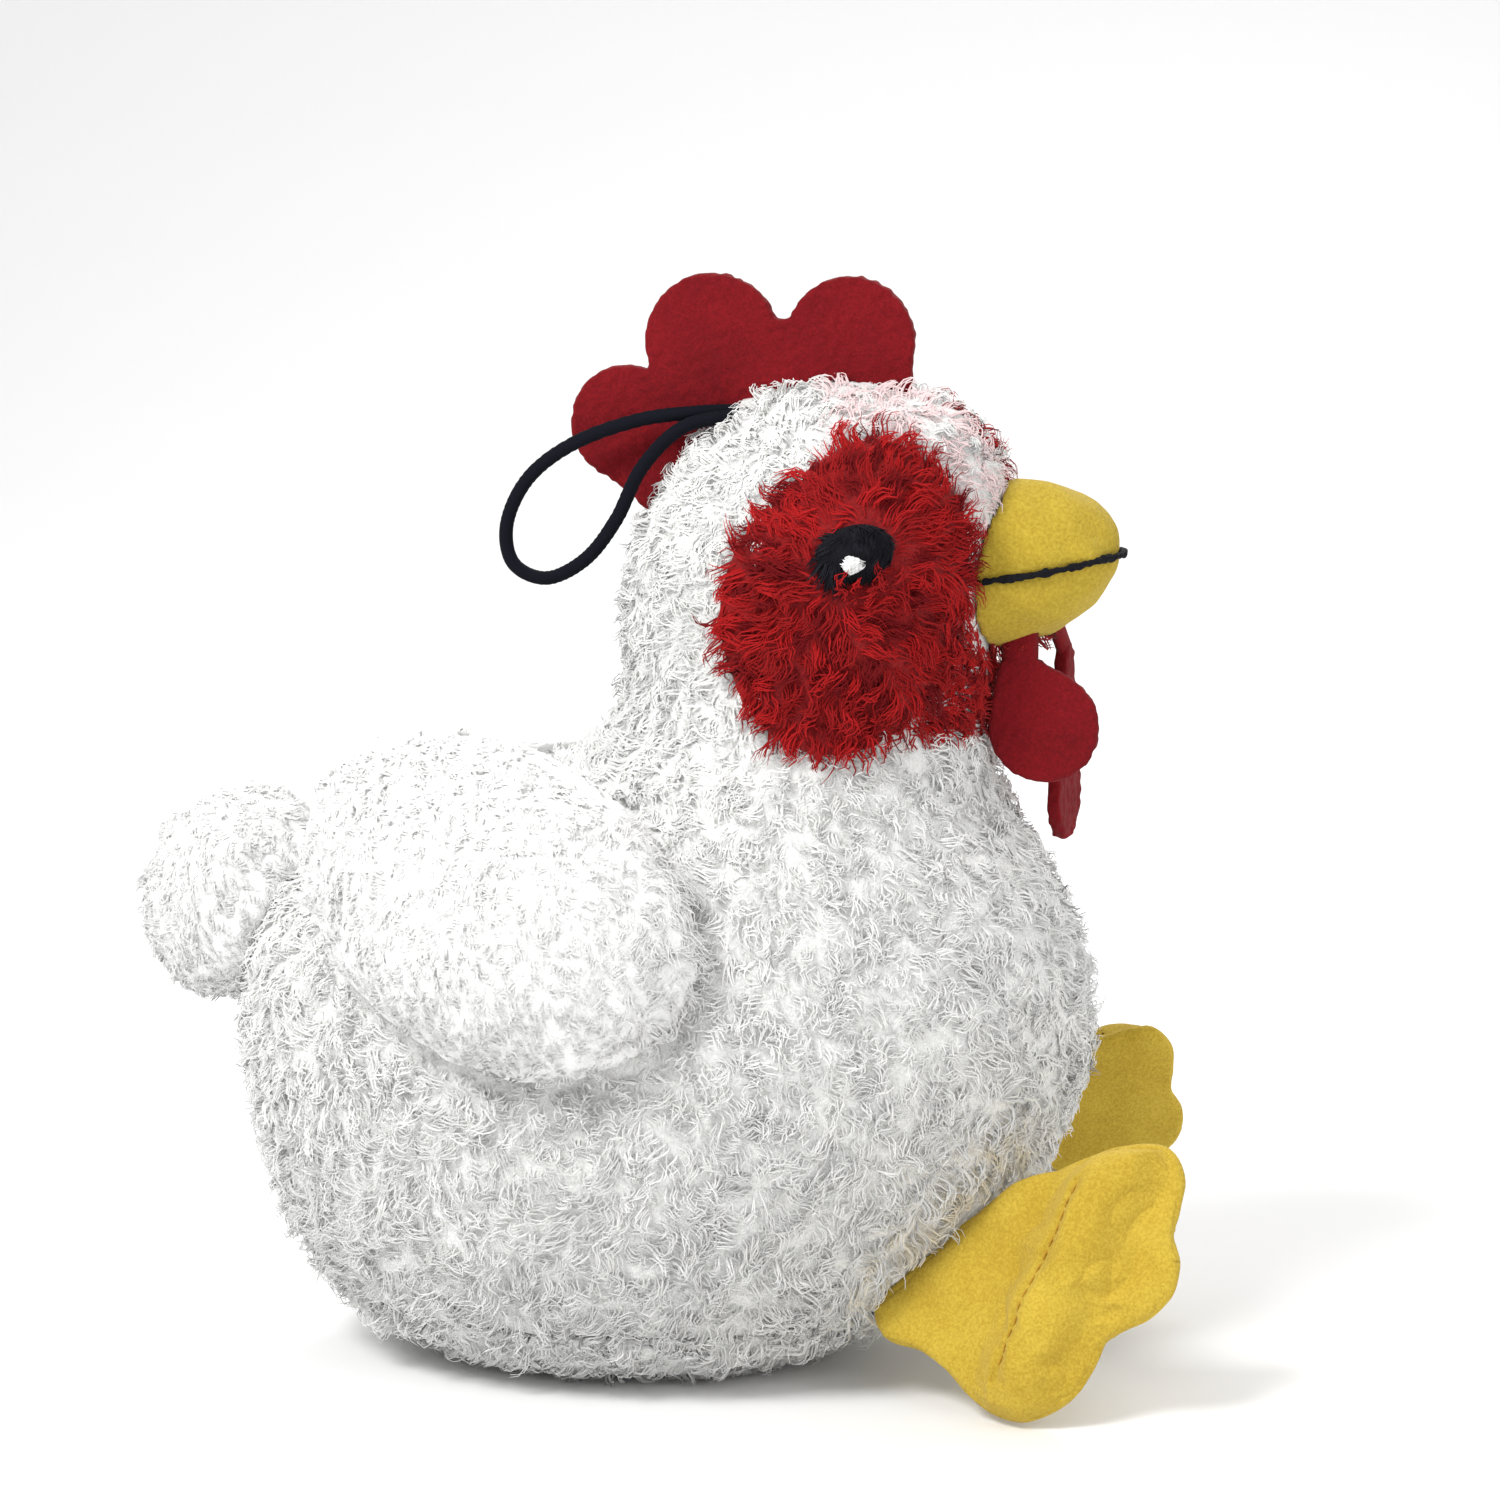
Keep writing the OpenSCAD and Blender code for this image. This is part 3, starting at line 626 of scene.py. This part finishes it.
tail_surface = soft_copy("tail", cell=0.0008, rounds=6)
tail_surface[0][:] += tail_surface[1] * (0.0006 * ripple(tail_surface[0], size=0.012, seed=5))[:, None]
cloth_piece("tail_cover", "tail", "hen", short_backing, tail_surface)
tail_middle = sum((np.array(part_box("tail")[i]) for i in (0, 1))) / 2


def tail_outside(p, n):
    return ((p - tail_middle) * n).sum(1) > -0.002


short_pile("tail_pile", tail_surface, "hen", tail_outside, SHORT_GAP, [-0.3, 0, -1], 31)

for side, sign in (("right", -1), ("left", 1)):
    node = f"wing_{side}_cover"
    points, normals, faces = soft_copy(node, cell=0.0008, rounds=6)
    points += normals * (0.0006 * ripple(points, size=0.013, seed=8))[:, None]
    plush = (points, normals, faces)
    wing = f"wing_{side}"
    cloth_piece(f"wing_{side}_plush", node, wing, short_backing, plush)
    lining = soft_copy(f"wing_{side}_lining", cell=0.0006, rounds=3)
    cloth_piece(f"wing_{side}_back", f"wing_{side}_lining", wing, lining_cloth, lining)

    def wing_outside(p, n, sign=sign, side=side):
        rim = distance([f"wing_{side}_lining"], p)
        ahead = p[:, 0] > wing_front - WING_FRONT
        return (n[:, 1] * sign > -0.15) & (rim > np.where(ahead, 0.0004, 0.0026))

    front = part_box(node)[1][0] - WING_FRONT
    short_pile(f"wing_{side}_pile", plush, wing, wing_outside, SHORT_GAP, [-1, 0, -0.2], 41, front)


# Face patches: long red pile sewn over each cheek, its strands standing out all
# round from the eye and over the white pile at the rim.
red_backing = cloth_material(
    "red_backing", (0.30, 0.010, 0.010), (0.17, 0.005, 0.007),
    speck=0.0007, relief=0.0005, rough=0.95,
)
black_thread = cloth_material(
    "black_thread", (0.007, 0.007, 0.011), (0.003, 0.003, 0.005),
    speck=0.0004, relief=0.0004, rough=0.8, sheen=0.02,
)
white_thread = cloth_material(
    "white_thread", (0.85, 0.85, 0.84), (0.70, 0.70, 0.70),
    speck=0.0004, relief=0.0003, rough=0.7,
)
thread_tones = [
    plain_material("black_floss", (0.004, 0.004, 0.007), 0.7, 0.0),
    plain_material("black_floss_light", (0.009, 0.009, 0.014), 0.7, 0.03),
]
glint_tone = [plain_material("white_floss", (0.90, 0.90, 0.89), 0.6, 0.2)]

for side, sign in (("right", -1), ("left", 1)):
    patch = cad_copy(f"face_patch_{side}", 2)
    cloth_piece(f"face_patch_{side}_cloth", f"face_patch_{side}", "hen", red_backing, patch)
    eye_low, eye_high = (np.array(c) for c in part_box(f"eye_{side}"))
    eye_at = (eye_low + eye_high) / 2

    def patch_outside(p, n, sign=sign):
        return n[:, 1] * sign + n[:, 0] * 0.4 > -0.1

    p, n = rooted([patch], gap=0.00078, keep=patch_outside, seed=51)
    to_eye = distance([f"eye_{side}"], p)
    p, n, to_eye = p[to_eye > 0.0004], n[to_eye > 0.0004], to_eye[to_eye > 0.0004]
    away = p - eye_at
    below = (to_eye < 0.0034) & (away[:, 2] < -0.0028) & (away[:, 0] > -0.0035)
    flow = away + np.array([0, 0, -0.004])
    flow[below] *= -1
    reach = np.where(below, 0.0054, 0.0058)
    lift = np.where(to_eye < 0.004, 0.5, 0.75)
    lift = np.where(below, 1.1, lift)
    f, faces, which = strands(
        p, n, flow, reach, width=0.00036, lift=lift, curl=0.16, tuft=0.0028, seed=61,
        turns=(0.5, 1.0), stray=0.4,
    )
    tone = toned(which, RED_SHARES, seed=62)
    pile(f"face_patch_{side}_pile", f, faces, tone, red_tones, "hen")

    # Embroidered eye: flat black floss over a felt spot, ragged at its lower back
    # corner, with a knot of white floss for the glint.
    spot = cad_copy(f"eye_{side}", 2)
    cloth_piece(f"eye_{side}_spot", f"eye_{side}", "hen", black_thread, spot)
    eye_surface = cad_copy(f"eye_{side}", 1)
    p, n = rooted([eye_surface], gap=0.00042, keep=patch_outside, seed=71)
    tail_side = p[:, 0] < eye_at[0] - 0.0015
    flow = np.where(tail_side[:, None], [-0.5, 0, -1.0], [0.3, 0, -1.0])
    reach = np.where(tail_side & (p[:, 2] < eye_at[2]), 0.0048, 0.0024)
    lift = np.full(len(p), 0.35)
    f, faces, which = strands(
        p, n, flow, reach, width=0.00034, lift=lift, curl=0.1, tuft=0.0012, seed=72, rings=4,
        turns=(0.3, 0.7), stray=0.25,
    )
    tone = toned(which, FLOSS_SHARES, seed=73)
    pile(f"eye_{side}_floss", f, faces, tone, thread_tones, "hen")
    glint = cad_copy(f"eye_glint_{side}", 2)
    cloth_piece(f"eye_{side}_glint_spot", f"eye_glint_{side}", "hen", white_thread, glint)
    p, n = rooted([glint], gap=0.00036, keep=patch_outside, seed=75)
    f, faces, which = strands(
        p, n, np.tile([0.3, 0, 1.0], (len(p), 1)), np.full(len(p), 0.0014), width=0.00036,
        lift=np.full(len(p), 0.5), curl=0.25, tuft=0.0009, seed=76, rings=4, turns=(0.4, 0.9), stray=0.6,
    )
    pile(f"eye_{side}_glint_floss", f, faces, np.zeros(len(p), int), glint_tone, "hen")


# Comb and wattles: deep red felt with soft cut edges. The comb stands in the
# crown seam; each wattle is a drop hung by its top from under the beak.
def cut_size(node, thin_way):
    """Width, height and area of a flat felt piece as it is cut: its solid's outline, without the cut edge."""
    points, _, faces = cad_copy(node)
    level = np.cross(thin_way, (0, 0, 1))
    a, b, c = points[faces[:, 0]], points[faces[:, 1]], points[faces[:, 2]]
    area = np.abs(np.cross(b - a, c - a) @ np.array(thin_way)).sum() / 4
    return float(np.ptp(points @ level)), float(np.ptp(points[:, 2])), float(area)


def felt_piece(name, node, body, waves, seed, thin_way=(0, 1, 0)):
    """A felt sheet in place of its CAD solid, with gentle waves across it."""
    points, normals, faces = soft_copy(node, cell=0.0005, rounds=5)
    across = np.array([0.0, 1.0, 0.0])
    points = points + across * (waves * ripple(points * [1, 0, 1], size=0.03, seed=seed))[:, None]
    points += normals * (0.00012 * ripple(points, size=0.002, seed=seed + 1))[:, None]
    obj = mesh_object(name, points, faces, red_felt)
    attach(obj, body)
    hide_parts(node)
    wide, tall, area = cut_size(node, thin_way)
    return obj


red_felt = cloth_material(
    "red_felt", (0.21, 0.006, 0.010), (0.135, 0.004, 0.007),
    speck=0.0005, relief=0.0004, rough=0.95, sheen=0.04,
)
felt_piece("comb_felt", "comb", "hen", waves=0.0006, seed=81)
felt_piece("wattle_right_felt", "wattle_right", "wattle_right", waves=0.0003, seed=83)
LEFT_TURN = math.radians(82)
LEFT_WATTLE_FACES = (math.sin(LEFT_TURN), -math.cos(LEFT_TURN), 0)
felt_piece(
    "wattle_left_felt", "wattle_left", "wattle_left", waves=0.0002, seed=85,
    thin_way=LEFT_WATTLE_FACES,
)

# The sewn top of each wattle: a short felt tab from the beak's underside down to the line it swings on.
# For each: its upper end, its lower end, the way its thin side faces, and half its width.
SEWN_TOPS = {
    "right": ((63.2, -5.2, 131.0), (63.2, -5.2, 125.2), (0, 1, 0), 3.2),
    "left": ((67.5, 4.8, 133.0), (69.5, 10.2, 125.4), LEFT_WATTLE_FACES, 2.6),
}
TAB_HALF_THICK = 0.0011
for side, (upper, lower, thin_way, half_width) in SEWN_TOPS.items():
    half = half_width * 0.001
    route = np.linspace(np.array(upper) * 0.001, np.array(lower) * 0.001, 14)

    def flattened(run, angle, half=half):
        oval = 1 / np.sqrt(np.cos(angle) ** 2 + (np.sin(angle) * half / TAB_HALF_THICK) ** 2)
        return oval + 0 * run

    tab_points, tab_faces = tube(route, half, thin_way, sides=20, ribs=flattened)
    tab = mesh_object(f"wattle_{side}_sewn_top", tab_points, tab_faces, red_felt)
    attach(tab, "hen")


# Beak: two stuffed halves of yellow fleece, closed all round by black yarn that
# is laid in the mouth seam and caught down with small stitches.
fleece = cloth_material(
    "yellow_fleece", (0.53, 0.385, 0.045), (0.40, 0.275, 0.025),
    speck=0.0006, relief=0.0005, rough=0.95, sheen=0.08,
)
for half in ("upper", "lower"):
    points, normals, faces = soft_copy(f"beak_{half}", cell=0.0006, rounds=6)
    points += normals * (0.0002 * ripple(points, size=0.008, seed=91))[:, None]
    jaw = (points, normals, faces)
    cloth_piece(f"beak_{half}_fleece", f"beak_{half}", "hen", fleece, jaw)


# The red pile of the throat runs on under the beak, over the sewn tops of the wattles.
def under_beak(p, n):
    return (n[:, 2] < -0.9) & (p[:, 0] < 0.070) & (np.abs(p[:, 1]) < 0.007)


roots, ways = rooted([soft_copy("beak_lower", cell=0.0006, rounds=6)], gap=0.0009, keep=under_beak, seed=94)
flow = np.tile([0.7, 0.0, -0.5], (len(roots), 1))
fringe, fringe_faces, tuft = strands(
    roots, ways, flow, np.full(len(roots), 0.0042), width=0.00036,
    lift=np.full(len(roots), 1.1), curl=0.16, tuft=0.0026, seed=95,
)
pile("throat_fringe", fringe, fringe_faces, toned(tuft, RED_SHARES, seed=96), red_tones, "hen")

points, normals, faces = soft_copy("mouth_yarn", cell=0.00025, rounds=1)
yarn_twist = 0.00012 * np.sin(points[:, 0] / 0.0009 + 3 * np.arctan2(points[:, 1], points[:, 2] - 0.141))
points += normals * (yarn_twist + 0.00015 * ripple(points, size=0.0015, seed=93))[:, None]
cloth_piece("mouth_yarn_strand", "mouth_yarn", "hen", black_thread, (points, normals, faces))


# Feet: fleece upper and sole sewn edge to edge over thin padding. A line of
# stitches runs down one side of the padded middle toe.
FOOT_YAW = math.radians(-18)
FOOT_LEAN = math.radians(24)
TOE_STITCHES = [(10.7, 10.5), (8.6, 3.0), (5.8, -6.0), (3.4, -15.0), (1.2, -24.0)]
TOE_CREASE = [(21.0, 9.0), (18.2, 0.0), (15.0, -10.0), (12.0, -20.0)]
# For each foot: its middle, its turn in degrees, its side, and how far down the line its stitches start
FEET = {
    "right": ((67.5, -26, 27.8), 0, -1, 0.0005),
    "left": ((62, -34.5, 33), 7, 1, 0.007),
}
STITCH_GROOVE = 0.0009
CREASE_DEPTH = 0.0015
CREASE_WIDTH = 0.0019
WADDING_GAP = 0.0008
EDGE_INSET = 0.0009
EDGE_RAISED = 0.0013
EDGE_RADIUS = 0.00125
THREAD_RADIUS = 0.00017
STITCH_LENGTH = 0.0017
STITCH_STEP = 0.0024
gold = cloth_material(
    "golden_fleece", (0.60, 0.43, 0.055), (0.45, 0.295, 0.028),
    speck=0.0005, relief=0.0004, rough=0.95, sheen=0.08,
)
wadding = plain_material("foot_wadding", (0.80, 0.80, 0.79), 0.95, 0.1)
toe_thread = plain_material("toe_thread", (0.46, 0.25, 0.025), 0.85, 0.05)
outward = np.array([math.sin(FOOT_YAW), -math.cos(FOOT_YAW), 0])
foot_p = np.array([math.cos(FOOT_YAW), math.sin(FOOT_YAW), 0])
foot_q = np.array([0, 0, math.cos(FOOT_LEAN)]) - math.sin(FOOT_LEAN) * outward
foot_n = math.cos(FOOT_LEAN) * outward + np.array([0, 0, math.sin(FOOT_LEAN)])

for side, (middle, turn, sign, first_stitch) in FEET.items():
    flip = np.array([1, -sign, 1])
    turned = math.radians(turn)
    p_axis = (foot_p * math.cos(turned) + foot_q * math.sin(turned)) * flip
    q_axis = (foot_q * math.cos(turned) - foot_p * math.sin(turned)) * flip
    n_axis = foot_n * flip
    origin = np.array(middle) * 0.001 * flip
    points, normals, faces = soft_copy(f"foot_{side}_upper", cell=0.00035, rounds=8)
    line = spline(np.array([(*s, 0) for s in TOE_STITCHES]) * 0.001, 12)[:, :2]
    flat = np.stack([(points - origin) @ p_axis, (points - origin) @ q_axis], 1)
    off = np.min(np.linalg.norm(flat[:, None] - line[None], axis=2), axis=1)
    upper_side = (normals @ n_axis) > 0.1
    groove = np.where(upper_side, STITCH_GROOVE, 0) * np.exp(-(off / STITCH_GROOVE) ** 2)
    points -= n_axis * groove[:, None]
    fold = spline(np.array([(*s, 0) for s in TOE_CREASE]) * 0.001, 12)[:, :2]
    off_fold = np.min(np.linalg.norm(flat[:, None] - fold[None], axis=2), axis=1)
    crease = np.where(upper_side, CREASE_DEPTH, 0) * np.exp(-(off_fold / CREASE_WIDTH) ** 2)
    points -= n_axis * crease[:, None]
    points += normals * (0.00035 * ripple(points, size=0.011, seed=95))[:, None]
    body = f"foot_{side}"
    upper = (points, normals, faces)
    cloth_piece(f"foot_{side}_fleece", f"foot_{side}_upper", body, gold, upper)
    wad, wad_ways, wad_faces = cad_copy(f"foot_{side}_padding")
    wad = (wad - WADDING_GAP * wad_ways, wad_ways, wad_faces)
    cloth_piece(f"foot_{side}_wadding", f"foot_{side}_padding", body, wadding, wad)
    sole = soft_copy(f"foot_{side}_sole", cell=0.0005, rounds=2)
    cloth_piece(f"foot_{side}_under", f"foot_{side}_sole", body, gold, sole)
    corners, _, _ = cad_copy(f"foot_{side}_sole")
    flat = np.stack([(corners - origin) @ p_axis, (corners - origin) @ q_axis], 1)
    bearing = np.round(np.degrees(np.arctan2(flat[:, 1], flat[:, 0])) / 10).astype(int) % 36
    rim = []
    for k in range(36):
        there = flat[bearing == k]
        rim.append(there[np.argmax(np.linalg.norm(there, axis=1))])
    rim = np.array(rim)
    rim *= 1 - EDGE_INSET / np.linalg.norm(rim, axis=1)[:, None]
    rim = spline(np.concatenate([rim[-2:], rim, rim[:3]]), 6)[12:-12]
    edge = origin + rim[:, :1] * p_axis + rim[:, 1:] * q_axis + EDGE_RAISED * n_axis
    edge_points, edge_faces = tube(edge, EDGE_RADIUS, n_axis, sides=10)
    edge_points = edge_points + 0.00012 * ripple(edge_points, size=0.004, seed=97)[:, None] * n_axis
    turned_edge = mesh_object(f"foot_{side}_turned_edge", edge_points, edge_faces, gold)
    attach(turned_edge, body)
    tree = BVHTree.FromPolygons(points.tolist(), faces.tolist())
    stitch_points, stitch_faces = [], []
    run = np.concatenate([[0], np.cumsum(np.linalg.norm(np.diff(line, axis=0), axis=1))])
    for start in np.arange(first_stitch, run[-1] - 0.002, STITCH_STEP):
        bits = []
        for along in np.linspace(start, start + STITCH_LENGTH, 5):
            u, v = (np.interp(along, run, line[:, i]) for i in (0, 1))
            above = origin + u * p_axis + v * q_axis + 0.02 * n_axis
            hit = tree.ray_cast(Vector(above), Vector(-n_axis))[0]
            dip = 0.0002 * math.cos((along - start) / STITCH_LENGTH * 2 * math.pi)
            bits.append(np.array(hit) + n_axis * (0.0001 - dip))
        more, some = tube(np.array(bits), THREAD_RADIUS, p_axis, sides=6)
        stitch_faces += [tuple(i + len(stitch_points) for i in f) for f in some]
        stitch_points += list(more)
    stitches = mesh_object(f"foot_{side}_toe_stitches", np.array(stitch_points), stitch_faces, toe_thread)
    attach(stitches, body)


# Button spring: a small steel coil under the sound box's button, which it pushes
# back up. It stands on the board; in the toy it shortens by the button's travel, here it keeps its CAD shape.
spring_steel = plain_material("spring_steel", (0.62, 0.63, 0.65), 0.35, 0.0, 1.0)
coil_points, _, coil_faces = cad_copy("button_spring")
coil = mesh_object("button_spring_coil", coil_points, coil_faces, spring_steel)
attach(coil, "hen")
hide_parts("button_spring")
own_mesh(coil)
